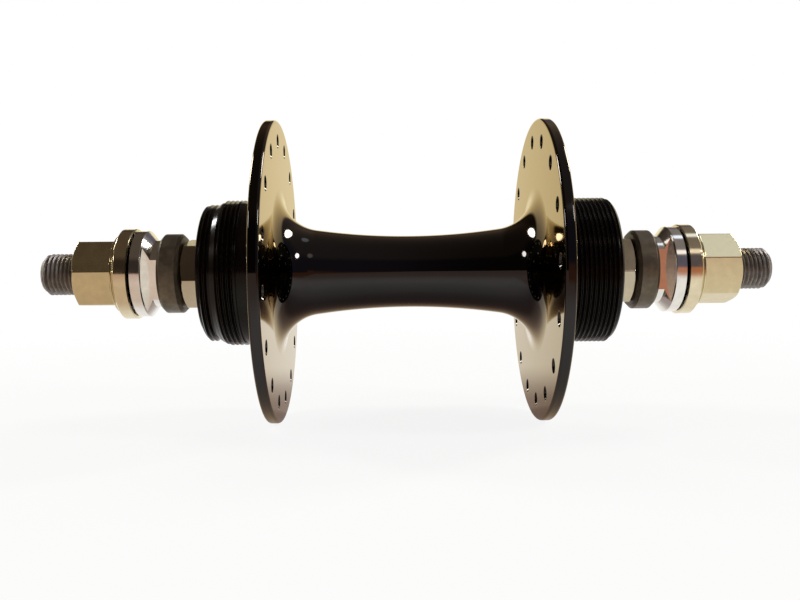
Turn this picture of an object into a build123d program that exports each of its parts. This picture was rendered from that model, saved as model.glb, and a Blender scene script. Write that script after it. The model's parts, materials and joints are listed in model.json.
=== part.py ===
from build123d import *
import math
import os

# A bicycle rear hub for the track: one high-flange shell that takes a fixed cog on one side
# and a freewheel on the other, on a solid threaded axle with cartridge ball bearings.
# The axle lies along Y, with the freewheel side towards +Y. The origin is the middle of the hub.
# Sizes are millimetres, and a station is a distance from the middle of the hub along the axle.

os.makedirs("parts", exist_ok=True)

# Axle
axle_overhang = 22.55
axle_diameter = 9.9
axle_end_chamfer = 1.1
thread_clearance = 0.05

# Shell
shell_end_round = 1.1
barrel_waist_diameter = 17.2
barrel_neck_diameter = 20.0
shell_bore_clearance = 0.55

# Flanges and their spoke holes
flange_spacing = 63.7
flange_thickness = 2.5
flange_diameter = 72.2
flange_edge_round = 0.6
trumpet_radius = 10.0
spoke_edge_distance = 4.85
spokes_per_flange = 16
spoke_hole_diameter = 2.6
spoke_countersink_diameter = 3.5
cog_side_spoke_angle = 7.7

# Cog side: the lockring thread at the end, then the cog thread
lockring_thread_diameter = 32.77
lockring_thread_length = 2.6
relief_width = 0.7
thread_relief_depth = 0.75
cog_thread_diameter = 34.8
cog_thread_length = 5.95
cog_thread_lead_in = 1.9
cog_thread_lead_depth = 1.05
cog_shoulder_step = 0.5
shoulder_round = 1.0

# Freewheel side: one long thread up to a relief beside the flange
freewheel_relief_width = 1.9
freewheel_thread_diameter = 34.8
freewheel_thread_length = 13.05
freewheel_lead_in = 0.9

# Cartridge bearings, one pressed into each end of the shell
bearing_outside_diameter = 26.0
bearing_bore_clearance = 0.05
bearing_width = 8.0
bearing_recess = 2.2
race_corner_chamfer = 0.3
race_gap = 3.8
balls_per_bearing = 7
ball_diameter = 4.762
ball_groove_clearance = 0.07
pocket_clearance = 0.12
cage_wall = 1.5
cage_back = 0.4
cage_open_depth = 1.2
seal_thickness = 0.6
seal_recess = 0.2
seal_seat_depth = 0.7
seal_lip_gap = 0.25
seat_mouth_chamfer = 0.5
bearing_shoulder_width = 1.7
shoulder_relief_depth = 1.2

# Spacer tube between the two inner races
spacer_tube_wall = 1.0
spacer_tube_clearance = 0.1

# Hexagonal nut against each inner race
bearing_nut_flats = 15.0
bearing_nut_length = 7.75
bearing_nut_collar_length = 0.8
bearing_nut_collar_inset = 0.1

# Round black spacer that widens the hub to its frame
spacer_diameter = 19.0
spacer_width = 5.0
spacer_edge_chamfer = 0.7

# Locknut whose serrated flange bears on the inside of the frame
locknut_barrel_diameter = 16.1
locknut_barrel_length = 1.7
locknut_wrench_flats = 13.0
locknut_wrench_length = 3.2
locknut_cone_length = 1.75
locknut_flange_diameter = 20.6
locknut_flange_width = 2.5
locknut_edge_chamfer = 0.2

# Captive washer that bears on the outside of the frame
frame_gap = 0.3
washer_diameter = 21.6
washer_thickness = 3.9
washer_edge_chamfer = 0.2
washer_chamfer_length = 0.95
washer_face_diameter = 18.8
washer_recess_depth = 1.5
serrations = 24
serration_depth = 0.35
serration_width = 1.2
serration_rim = 0.6

# Track nut, which turns in the washer that it carries
track_nut_flats = 15.0
track_nut_length = 9.8
track_nut_base_diameter = 18.4
track_nut_base_width = 0.3
track_nut_neck_length = 2.0
track_nut_flare_inset = 0.2
track_nut_crown_diameter = 14.4
track_nut_crown_angle = 30.0
track_nut_mouth_chamfer = 0.7
nut_collar_diameter = 12.8
nut_lip_height = 0.9
nut_lip_width = 0.95
captive_play = 0.15
collar_clearance = 0.2
lip_clearance = 0.7

# How each nut was left turned, as degrees of one corner or flat above the horizontal
# on the side towards +X
cog_side = -1
freewheel_side = 1
side_names = {cog_side: "cog_side", freewheel_side: "freewheel_side"}
bearing_nut_turn = {cog_side: -12.0, freewheel_side: -3.0}
locknut_turn = {cog_side: -13.0, freewheel_side: 0.0}
track_nut_turn = {cog_side: 3.0, freewheel_side: 18.0}

# Stations worked out from the sizes above
full_turn = 360.0
cut_margin = 1.0
flange_outer_face = (flange_spacing + flange_thickness) / 2
flange_inner_face = (flange_spacing - flange_thickness) / 2
freewheel_start = flange_outer_face + freewheel_relief_width
shell_end = freewheel_start + freewheel_thread_length
bearing_outer_face = shell_end - bearing_recess
bearing_middle = bearing_outer_face - bearing_width / 2
bearing_inner_face = bearing_outer_face - bearing_width
bearing_nut_end = bearing_outer_face + bearing_nut_length
spacer_end = bearing_nut_end + spacer_width
locknut_cone_start = spacer_end + locknut_barrel_length
locknut_flange_start = locknut_cone_start + locknut_cone_length
locknut_end = locknut_flange_start + locknut_flange_width
washer_inner_face = locknut_end + frame_gap
washer_outer_face = washer_inner_face + washer_thickness
washer_recess_floor = washer_inner_face + washer_recess_depth
track_nut_base = washer_outer_face + captive_play
track_nut_end = track_nut_base + track_nut_length
axle_end = locknut_end + axle_overhang

# Radii that several pieces share, worked out from the sizes above
axle_radius = axle_diameter / 2
nut_bore_radius = axle_radius + thread_clearance
spacer_tube_bore_radius = axle_radius + spacer_tube_clearance
spacer_tube_radius = spacer_tube_bore_radius + spacer_tube_wall
bearing_radius = bearing_outside_diameter / 2
bearing_bore_radius = axle_radius + bearing_bore_clearance
ball_circle_radius = (bearing_radius + bearing_bore_radius) / 2
ball_radius = ball_diameter / 2
groove_radius = ball_radius + ball_groove_clearance
pocket_radius = ball_radius + pocket_clearance
outer_land_radius = ball_circle_radius + race_gap / 2
inner_land_radius = ball_circle_radius - race_gap / 2
seal_seat_radius = outer_land_radius + seal_seat_depth
seal_outer_offset = bearing_width / 2 - seal_recess
seal_inner_offset = seal_outer_offset - seal_thickness
nut_collar_radius = nut_collar_diameter / 2
nut_lip_radius = nut_collar_radius + nut_lip_height


def turned(*corners):
    """A solid turned about the axle. A corner is a radius, a station and, if rounded, its radius."""
    points = [(corner[0], corner[1]) for corner in corners]
    rounds = [corner[2] if len(corner) > 2 else 0.0 for corner in corners]
    outline = FilletPolyline(*points, radius=rounds, close=True)
    return revolve(Plane.XZ * make_face(outline), Axis.Z)


def tube(inner_radius, outer_radius, start, end):
    """A plain ring or tube about the axle between two stations."""
    return turned((inner_radius, start), (outer_radius, start), (outer_radius, end), (inner_radius, end))


def hexagon_bar(flats, start, end):
    """A hexagonal bar with one corner on local X."""
    corner_radius = flats / 2 / math.cos(math.pi / 6)
    outline = RegularPolygon(corner_radius, 6)
    return Pos(0, 0, start) * extrude(outline, end - start)


def on_side(side, shape, turn=0.0):
    """Put a piece modelled outward along local Z on its side of the hub, turned about the axle."""
    side_plane = Plane(origin=(0, 0, 0), x_dir=(1, 0, 0), z_dir=(0, side, 0))
    return side_plane * (Rot(0, 0, -side * turn) * shape)


def save(shape, name):
    """Write one piece, labelled with its name."""
    shape.label = name
    export_step(shape, f"parts/{name}.step")


def spoke_drill(side):
    """The drilled and twice countersunk shape of one spoke hole, on the axle."""
    hole_radius = spoke_hole_diameter / 2
    wide_radius = spoke_countersink_diameter / 2
    sink_depth = wide_radius - hole_radius
    return turned(
        (0, side * (flange_inner_face - cut_margin)),
        (wide_radius + cut_margin, side * (flange_inner_face - cut_margin)),
        (hole_radius, side * (flange_inner_face + sink_depth)),
        (hole_radius, side * (flange_outer_face - sink_depth)),
        (wide_radius + cut_margin, side * (flange_outer_face + cut_margin)),
        (0, side * (flange_outer_face + cut_margin)),
    )


def spoke_holes():
    """All spoke holes. The freewheel side's lie half a spacing on from the cog side's."""
    spoke_circle_radius = flange_diameter / 2 - spoke_edge_distance
    half_spacing = full_turn / spokes_per_flange / 2
    first_angles = {cog_side: cog_side_spoke_angle, freewheel_side: cog_side_spoke_angle + half_spacing}
    # Spoke angles run from the top towards +X, and local angles from +X downwards.
    top = -full_turn / 4
    holes = []
    for side, angle in first_angles.items():
        places = PolarLocations(spoke_circle_radius, spokes_per_flange, start_angle=top + angle)
        holes += [place * spoke_drill(side) for place in places]
    return holes


def barrel_corner():
    """The waist as one long round: its radius, and the corner of the two straight runs it joins."""
    neck_station = flange_inner_face - trumpet_radius
    rise = (barrel_neck_diameter - barrel_waist_diameter) / 2
    waist_round = (neck_station**2 + rise**2) / (2 * rise)
    slope = math.asin(neck_station / waist_round)
    middle_radius = barrel_waist_diameter / 2 - waist_round * (1 / math.cos(slope) - 1)
    foot_radius = barrel_neck_diameter / 2 + trumpet_radius * math.tan(slope)
    return waist_round, middle_radius, foot_radius


def shell_body():
    """The solid outside of the shell: thread blanks, flanges, trumpets and waisted barrel."""
    lockring_radius = lockring_thread_diameter / 2
    lockring_end = shell_end - lockring_thread_length
    cog_radius = cog_thread_diameter / 2
    cog_start = lockring_end - relief_width
    cog_end = cog_start - cog_thread_length
    cog_shoulder_radius = cog_radius - cog_shoulder_step
    relief_radius = lockring_radius - thread_relief_depth
    freewheel_radius = freewheel_thread_diameter / 2
    freewheel_relief_radius = freewheel_radius - thread_relief_depth
    rim_radius = flange_diameter / 2
    waist_round, middle_radius, foot_radius = barrel_corner()
    return turned(
        (0, -shell_end),
        (lockring_radius, -shell_end, shell_end_round),
        (lockring_radius, -lockring_end),
        (relief_radius, -lockring_end),
        (relief_radius, -cog_start),
        (cog_radius - cog_thread_lead_depth, -cog_start),
        (cog_radius, -cog_start + cog_thread_lead_in),
        (cog_radius, -cog_end),
        (cog_shoulder_radius, -cog_end),
        (cog_shoulder_radius, -flange_outer_face, shoulder_round),
        (rim_radius, -flange_outer_face, flange_edge_round),
        (rim_radius, -flange_inner_face, flange_edge_round),
        (foot_radius, -flange_inner_face, trumpet_radius),
        (middle_radius, 0, waist_round),
        (foot_radius, flange_inner_face, trumpet_radius),
        (rim_radius, flange_inner_face, flange_edge_round),
        (rim_radius, flange_outer_face, flange_edge_round),
        (freewheel_relief_radius, flange_outer_face),
        (freewheel_relief_radius, freewheel_start),
        (freewheel_radius, freewheel_start),
        (freewheel_radius, shell_end - freewheel_lead_in),
        (freewheel_radius - freewheel_lead_in, shell_end),
        (0, shell_end),
    )


def shell_hollow():
    """The inside of the shell: two bearing seats with shoulders, joined by a bore."""
    shoulder_radius = bearing_radius - bearing_shoulder_width
    relief_station = bearing_inner_face - shoulder_relief_depth
    bore_radius = spacer_tube_radius + shell_bore_clearance
    bore_station = relief_station - (shoulder_radius - bore_radius)
    mouth_radius = bearing_radius + seat_mouth_chamfer + cut_margin
    half = [
        (mouth_radius, shell_end + cut_margin),
        (bearing_radius, shell_end - seat_mouth_chamfer),
        (bearing_radius, bearing_inner_face),
        (shoulder_radius, bearing_inner_face),
        (shoulder_radius, relief_station),
        (bore_radius, bore_station),
    ]
    mirrored = [(radius, -station) for radius, station in reversed(half)]
    return turned((0, shell_end + cut_margin), *half, *mirrored, (0, -shell_end - cut_margin))


def hub_shell():
    """The one-piece shell with both flanges, its thread blanks and its drilled spoke holes."""
    return on_side(freewheel_side, shell_body() - shell_hollow() - spoke_holes())


def axle():
    """The solid axle, full length, with its thread left as a plain bar over the crests."""
    slim = axle_radius - axle_end_chamfer
    bar = turned(
        (0, -axle_end),
        (slim, -axle_end),
        (axle_radius, -axle_end + axle_end_chamfer),
        (axle_radius, axle_end - axle_end_chamfer),
        (slim, axle_end),
        (0, axle_end),
    )
    return on_side(freewheel_side, bar)


def spacer_tube():
    """The tube that holds the two inner races apart."""
    bar = tube(spacer_tube_bore_radius, spacer_tube_radius, -bearing_inner_face, bearing_inner_face)
    return on_side(freewheel_side, bar)


def ball_track():
    """The ring swept by the balls, slightly larger than they are, which grooves both races."""
    return Pos(0, 0, bearing_middle) * Torus(ball_circle_radius, groove_radius)


def outer_race():
    """Outer ring of the bearing, with its groove and a seat for a seal at each face."""
    ring = turned(
        (seal_seat_radius, bearing_inner_face),
        (bearing_radius - race_corner_chamfer, bearing_inner_face),
        (bearing_radius, bearing_inner_face + race_corner_chamfer),
        (bearing_radius, bearing_outer_face - race_corner_chamfer),
        (bearing_radius - race_corner_chamfer, bearing_outer_face),
        (seal_seat_radius, bearing_outer_face),
        (seal_seat_radius, bearing_middle + seal_inner_offset),
        (outer_land_radius, bearing_middle + seal_inner_offset),
        (outer_land_radius, bearing_middle - seal_inner_offset),
        (seal_seat_radius, bearing_middle - seal_inner_offset),
    )
    return ring - ball_track()


def inner_race():
    """Inner ring of the bearing, a slip fit on the axle."""
    ring = turned(
        (bearing_bore_radius + race_corner_chamfer, bearing_inner_face),
        (inner_land_radius, bearing_inner_face),
        (inner_land_radius, bearing_outer_face),
        (bearing_bore_radius + race_corner_chamfer, bearing_outer_face),
        (bearing_bore_radius, bearing_outer_face - race_corner_chamfer),
        (bearing_bore_radius, bearing_inner_face + race_corner_chamfer),
    )
    return ring - ball_track()


def ball_places():
    """Where the balls of one bearing lie."""
    ring = PolarLocations(ball_circle_radius, balls_per_bearing)
    return [Pos(0, 0, bearing_middle) * place for place in ring]


def bearing_balls():
    """The loose balls of one bearing."""
    return Compound([place * Sphere(ball_radius) for place in ball_places()])


def ball_cage():
    """A crown cage: a solid back, and pockets that the balls snap into from the open side."""
    back_station = bearing_middle - pocket_radius - cage_back
    ring = tube(
        ball_circle_radius - cage_wall / 2,
        ball_circle_radius + cage_wall / 2,
        back_station,
        bearing_middle + cage_open_depth,
    )
    return ring - [place * Sphere(pocket_radius) for place in ball_places()]


def bearing_seal(direction):
    """A rubber seal in one face of the bearing: direction 1 is the outer face, -1 the inner."""
    inner_radius = inner_land_radius + seal_lip_gap
    near = bearing_middle + direction * seal_inner_offset
    far = bearing_middle + direction * seal_outer_offset
    return tube(inner_radius, seal_seat_radius, min(near, far), max(near, far))


def bearing_nut():
    """Hexagonal nut with a slim collar that clears the seal and clamps the inner race."""
    collar_radius = inner_land_radius - bearing_nut_collar_inset
    collar_end = bearing_outer_face + bearing_nut_collar_length
    collar = tube(0, collar_radius, bearing_outer_face, collar_end)
    body = hexagon_bar(bearing_nut_flats, collar_end, bearing_nut_end)
    bore = tube(0, nut_bore_radius, bearing_outer_face - cut_margin, bearing_nut_end + cut_margin)
    return collar + body - bore


def spacer_nut():
    """Plain round spacer with both edges chamfered."""
    edge_radius = spacer_diameter / 2
    face_radius = edge_radius - spacer_edge_chamfer
    return turned(
        (nut_bore_radius, bearing_nut_end),
        (face_radius, bearing_nut_end),
        (edge_radius, bearing_nut_end + spacer_edge_chamfer),
        (edge_radius, spacer_end - spacer_edge_chamfer),
        (face_radius, spacer_end),
        (nut_bore_radius, spacer_end),
    )


def serration_cuts(face_station, reach):
    """Radial V grooves across a face from the axle out to a radius, as a list of wedges."""
    profile = Polyline(
        (-serration_width / 2, 0),
        (0, serration_depth),
        (serration_width / 2, 0),
        (0, -serration_depth),
        close=True,
    )
    wedge = extrude(Plane.YZ * make_face(profile), reach)
    step = full_turn / serrations
    return [Pos(0, 0, face_station) * Rot(0, 0, step * index) * wedge for index in range(serrations)]


def locknut():
    """Flanged locknut: round barrel and cone with two wrench flats, and a serrated flange."""
    barrel_radius = locknut_barrel_diameter / 2
    flange_radius = locknut_flange_diameter / 2
    body = turned(
        (nut_bore_radius, spacer_end),
        (barrel_radius - locknut_edge_chamfer, spacer_end),
        (barrel_radius, spacer_end + locknut_edge_chamfer),
        (barrel_radius, locknut_cone_start),
        (flange_radius, locknut_flange_start),
        (flange_radius, locknut_end - locknut_edge_chamfer),
        (flange_radius - locknut_edge_chamfer, locknut_end),
        (nut_bore_radius, locknut_end),
    )
    flat_depth = locknut_flange_diameter
    flat_cuts = [
        Pos(direction * (locknut_wrench_flats + flat_depth) / 2, 0, spacer_end)
        * Box(flat_depth, locknut_flange_diameter, 2 * locknut_wrench_length)
        for direction in (-1, 1)
    ]
    return body - flat_cuts - serration_cuts(locknut_end, flange_radius - serration_rim)


def captive_washer():
    """Serrated washer with a coned edge and a recess for the lip of the nut that carries it."""
    bore_radius = nut_collar_radius + collar_clearance
    recess_radius = nut_lip_radius + lip_clearance
    edge_radius = washer_diameter / 2
    ring = turned(
        (recess_radius, washer_inner_face),
        (edge_radius - washer_edge_chamfer, washer_inner_face),
        (edge_radius, washer_inner_face + washer_edge_chamfer),
        (edge_radius, washer_outer_face - washer_chamfer_length),
        (washer_face_diameter / 2, washer_outer_face),
        (bore_radius, washer_outer_face),
        (bore_radius, washer_recess_floor),
        (recess_radius, washer_recess_floor),
    )
    return ring - serration_cuts(washer_inner_face, edge_radius - serration_rim)


def track_nut():
    """Hexagonal track nut with a flared base, a chamfered crown and a lip that keeps the washer."""
    corner_radius = track_nut_flats / 2 / math.cos(math.pi / 6)
    base_radius = track_nut_base_diameter / 2
    lip_outer = washer_recess_floor - captive_play
    lip_inner = lip_outer - nut_lip_width
    flare_start = track_nut_base + track_nut_base_width
    flare_end = flare_start + track_nut_neck_length
    crown_radius = track_nut_crown_diameter / 2
    cutter_radius = corner_radius + cut_margin
    crown_drop = (cutter_radius - crown_radius) * math.tan(math.radians(track_nut_crown_angle))
    bar = hexagon_bar(track_nut_flats, track_nut_base, track_nut_end)
    crown = turned(
        (0, track_nut_base - cut_margin),
        (cutter_radius, track_nut_base - cut_margin),
        (cutter_radius, track_nut_end - crown_drop),
        (crown_radius, track_nut_end),
        (0, track_nut_end),
    )
    flare_foot = (base_radius, flare_start)
    flare_top_radius = track_nut_flats / 2 - track_nut_flare_inset
    flare_top = (flare_top_radius, flare_end)
    flare_middle = (
        flare_top_radius + (base_radius - flare_top_radius) / 4,
        flare_start + track_nut_neck_length / 4,
    )
    flare_side = ThreePointArc(flare_foot, flare_middle, flare_top)
    flare_rest = Polyline(
        flare_top,
        (0, flare_end),
        (0, track_nut_base),
        (base_radius, track_nut_base),
        flare_foot,
    )
    flare = revolve(Plane.XZ * make_face([flare_side, flare_rest]), Axis.Z)
    collar = tube(0, nut_collar_radius, lip_outer, track_nut_base)
    lip = tube(0, nut_lip_radius, lip_inner, lip_outer)
    mouth = turned(
        (0, lip_inner - cut_margin),
        (nut_bore_radius, lip_inner - cut_margin),
        (nut_bore_radius, track_nut_end - track_nut_mouth_chamfer),
        (nut_bore_radius + track_nut_mouth_chamfer + cut_margin, track_nut_end + cut_margin),
        (0, track_nut_end + cut_margin),
    )
    return (bar & crown) + flare + collar + lip - mouth


save(hub_shell(), "hub_shell")
save(axle(), "axle")
save(spacer_tube(), "spacer_tube")

for side, side_name in side_names.items():
    save(on_side(side, outer_race()), f"{side_name}_outer_race")
    save(on_side(side, inner_race()), f"{side_name}_inner_race")
    save(on_side(side, bearing_balls()), f"{side_name}_bearing_balls")
    save(on_side(side, ball_cage()), f"{side_name}_ball_cage")
    save(on_side(side, bearing_seal(1)), f"{side_name}_outer_seal")
    save(on_side(side, bearing_seal(-1)), f"{side_name}_inner_seal")
    save(on_side(side, bearing_nut(), bearing_nut_turn[side]), f"{side_name}_bearing_nut")
    save(on_side(side, spacer_nut()), f"{side_name}_spacer_nut")
    save(on_side(side, locknut(), locknut_turn[side]), f"{side_name}_locknut")
    save(on_side(side, captive_washer()), f"{side_name}_captive_washer")
    save(on_side(side, track_nut(), track_nut_turn[side]), f"{side_name}_track_nut")

print("distance over the locknuts", 2 * locknut_end)
print("track nut end", track_nut_end, "axle end", axle_end)
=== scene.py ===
import json
import math

import bmesh
import bpy
import numpy as np
from bpy.props import FloatProperty, FloatVectorProperty, IntProperty, PointerProperty
from mathutils import Euler, Matrix, Vector
from mathutils.geometry import delaunay_2d_cdt


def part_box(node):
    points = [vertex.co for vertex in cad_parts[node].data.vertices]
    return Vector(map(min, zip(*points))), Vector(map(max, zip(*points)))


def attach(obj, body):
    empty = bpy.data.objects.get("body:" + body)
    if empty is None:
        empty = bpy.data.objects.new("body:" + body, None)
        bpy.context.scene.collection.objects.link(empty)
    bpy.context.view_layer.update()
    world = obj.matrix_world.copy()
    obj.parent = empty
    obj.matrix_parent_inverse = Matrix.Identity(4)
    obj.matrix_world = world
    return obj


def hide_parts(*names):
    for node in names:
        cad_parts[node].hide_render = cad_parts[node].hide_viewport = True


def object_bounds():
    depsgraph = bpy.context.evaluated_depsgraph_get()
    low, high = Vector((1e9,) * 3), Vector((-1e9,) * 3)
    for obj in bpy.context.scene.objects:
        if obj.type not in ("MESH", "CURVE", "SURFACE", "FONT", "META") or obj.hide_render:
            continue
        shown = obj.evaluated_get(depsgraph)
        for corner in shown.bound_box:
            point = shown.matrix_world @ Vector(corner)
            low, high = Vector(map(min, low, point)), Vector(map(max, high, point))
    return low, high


bl_info = {
    "name": "Bicycle rear hub",
    "version": (1, 0, 0),
    "blender": (4, 5, 0),
    "location": "View3D > Sidebar > Rear hub",
    "description": "Builds the finish of a track bicycle's rear hub around its packed model",
    "category": "Add Mesh",
}

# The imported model, its box and its record
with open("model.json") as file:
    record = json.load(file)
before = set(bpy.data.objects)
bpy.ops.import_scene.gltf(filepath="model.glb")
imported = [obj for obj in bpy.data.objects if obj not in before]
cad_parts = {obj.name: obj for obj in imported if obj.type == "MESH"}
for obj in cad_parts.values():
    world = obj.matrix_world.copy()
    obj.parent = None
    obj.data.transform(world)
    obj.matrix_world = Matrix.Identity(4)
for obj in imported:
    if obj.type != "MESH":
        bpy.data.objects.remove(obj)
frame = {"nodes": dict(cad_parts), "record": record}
cad_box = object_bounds()
nodes = frame["nodes"]
mounts = {mount["name"]: mount for mount in frame["record"]["mounts"]}

# The axle lies along Y, with the freewheel side towards +Y. A station is a distance along the axle,
# and an angle runs from +X, the side that the photo shows, up towards +Z.
MM = 0.001
FULL_TURN = 2 * math.pi
HEXAGON_CORNERS = 6
HALF_SECTOR = math.pi / HEXAGON_CORNERS
OUTWARD = {"cog_side": -1, "freewheel_side": 1}

# Columns round the shell, a plain ring, the axle and a spoke hole, then across a serration, half of a
# hexagon's flat and half of its corner
SHELL_COLUMNS = 256
RING_COLUMNS = 128
AXLE_COLUMNS = 96
HOLE_COLUMNS = 32
GROOVE_COLUMNS = 8
FLAT_COLUMNS = 12
CORNER_COLUMNS = 5

# Steps along the shell's long rounds, its short ones, a seal's beads, the relief's round and any other
# round, then along a locknut's cone and a track nut's flare
LONG_ARC = 24
EDGE_ARC = 6
BEAD_ARC = 4
RELIEF_ARC = 3
PLAIN_ARC = 2
CONE_STEPS = 5
FLARE_STEPS = 8

# How near two points are one, how steep an edge stays sharp, how far a support row lies beside its
# round, and how long the steep end of a serration is
MERGE_DISTANCE = 0.002 * MM
SHARP_ANGLE = math.radians(32)
SUPPORT = 0.06 * MM
GROOVE_WALL = 0.04 * MM

# The most that a round, its support row and a serration take of the room they have, and how far along
# a hexagon's flat its last column lies
ROUND_SHARE = 0.7
SUPPORT_SHARE = 0.12
GROOVE_SHARE = 0.96
BESIDE_CORNER = 0.97

# What counts as inside a hole or a ring's bore, as the same point, and as nothing
HOLE_MARGIN = 0.994
RING_MARGIN = 0.9999
MEETING_DISTANCE = 1e-7
TINY = 1e-12


def length(name, description, millimetres):
    """A size that the user can change, given in millimetres and kept in metres."""
    return FloatProperty(
        name=name, description=description, default=millimetres * MM, min=0.0, unit="LENGTH", precision=5
    )


def angle(name, description, degrees):
    """An angle that the user can change, given in degrees."""
    return FloatProperty(
        name=name, description=description, default=math.radians(degrees), subtype="ANGLE"
    )


def colour(name, description, red, green, blue):
    """A linear colour that the user can change."""
    return FloatVectorProperty(
        name=name, description=description, default=(red, green, blue), min=0.0, max=1.0, subtype="COLOR"
    )


def mount_size(mount, size):
    """A size in millimetres from one of the record's mounts."""
    return mounts[mount]["dims"][size]


def width_of(node):
    """Width of a node across the axle, in millimetres."""
    low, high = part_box(node)
    return (high.x - low.x) / MM


def outer_radius(node):
    """How far a node reaches from the axle's centre line."""
    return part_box(node)[1].x


class ShellSizes(bpy.types.PropertyGroup):
    """Sizes of the shell, from the photo and the record."""

    flange_spacing: length("Flange spacing", "Between the middles of the two flanges", 63.7)
    flange_thickness: length("Flange thickness", "Across one flange", 2.5)
    flange_diameter: length("Flange diameter", "Over a flange's rim", width_of("hub_shell"))
    flange_edge_round: length("Flange edge round", "Radius of both edges of a rim", 0.6)
    waist_diameter: length("Waist diameter", "Barrel at its middle", 17.2)
    neck_diameter: length("Neck diameter", "Barrel where a trumpet begins", 20.0)
    trumpet_radius: length("Trumpet radius", "Round from the barrel to a flange", 10.0)
    spoke_circle: length("Spoke circle", "Diameter of a flange's circle of holes",
                         mount_size("cog_side_spoke_holes", "pcd_mm"))
    spoke_hole: length("Spoke hole", "Diameter of a spoke hole",
                       2 * mount_size("cog_side_spoke_holes", "hole_r_mm"))
    spoke_count: IntProperty(name="Spokes per flange", description="Holes in one flange",
                             default=mount_size("cog_side_spoke_holes", "count"), min=3)
    countersink: length("Countersink", "Diameter of a hole's countersink at the face", 3.5)
    hole_ease: length("Hole ease", "Small round on the edges of a spoke hole", 0.08)
    ring_margin: length("Ring margin", "From the spoke holes in to where the flat face begins", 1.0)
    first_spoke: angle("First spoke", "Angle of a cog-side hole from the top towards +X", 7.7)
    cog_thread: length("Cog thread", "Over the crests of the cog thread",
                       2 * mount_size("cog_thread", "r_mm"))
    cog_thread_start: length("Cog thread start", "Station of its outer end", 44.75)
    cog_thread_end: length("Cog thread end", "Station of its inner end", 38.8)
    lockring_thread: length("Lockring thread", "Over the crests of the lockring thread",
                            2 * mount_size("lockring_thread", "r_mm"))
    lockring_thread_end: length("Lockring thread end", "Station of its inner end", 45.45)
    freewheel_thread: length("Freewheel thread", "Over the crests of the freewheel thread",
                             2 * mount_size("freewheel_thread", "r_mm"))
    freewheel_thread_end: length("Freewheel thread end", "Station of its inner end", 35.0)
    cog_lead_in: length("Cog lead-in", "Length of the chamfer where the cog starts", 1.9)
    cog_lead_depth: length("Cog lead-in depth", "Depth of that chamfer at its end", 1.05)
    freewheel_lead_in: length("Freewheel lead-in", "Chamfer where the freewheel starts", 0.9)
    shoulder_step: length("Shoulder step", "From the cog thread's crests down to the shoulder", 0.5)
    shoulder_round: length("Shoulder round", "Inside round between the shoulder and the flange", 1.0)
    relief_depth: length("Relief depth", "Depth of the grooves that end a thread", 0.75)
    relief_round: length("Relief round", "Inside round where the relief meets the flange", 0.2)
    thread_runout: length("Thread runout", "Length over which the cog thread fades out", 0.635)
    thread_pitch: length("Thread pitch", "Of the shell's threads, 24 to the inch", 25.4 / 24)
    thread_depth: length("Thread depth", "Of the shell's threads", 0.65)
    end_round: length("End round", "Round at the lockring end", 1.1)
    seat_depth: length("Seat depth", "From the shell's end to the bearing's inner face", 10.2)
    shoulder_width: length("Bearing shoulder", "Width of the ledge behind a bearing", 1.7)
    shoulder_length: length("Bearing shoulder length", "Length of the ledge's bore", 1.2)
    bore: length("Bore", "Diameter of the bore between the bearings", 13.2)
    mouth_chamfer: length("Mouth chamfer", "Chamfer at the mouth of a bearing seat", 0.5)


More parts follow.
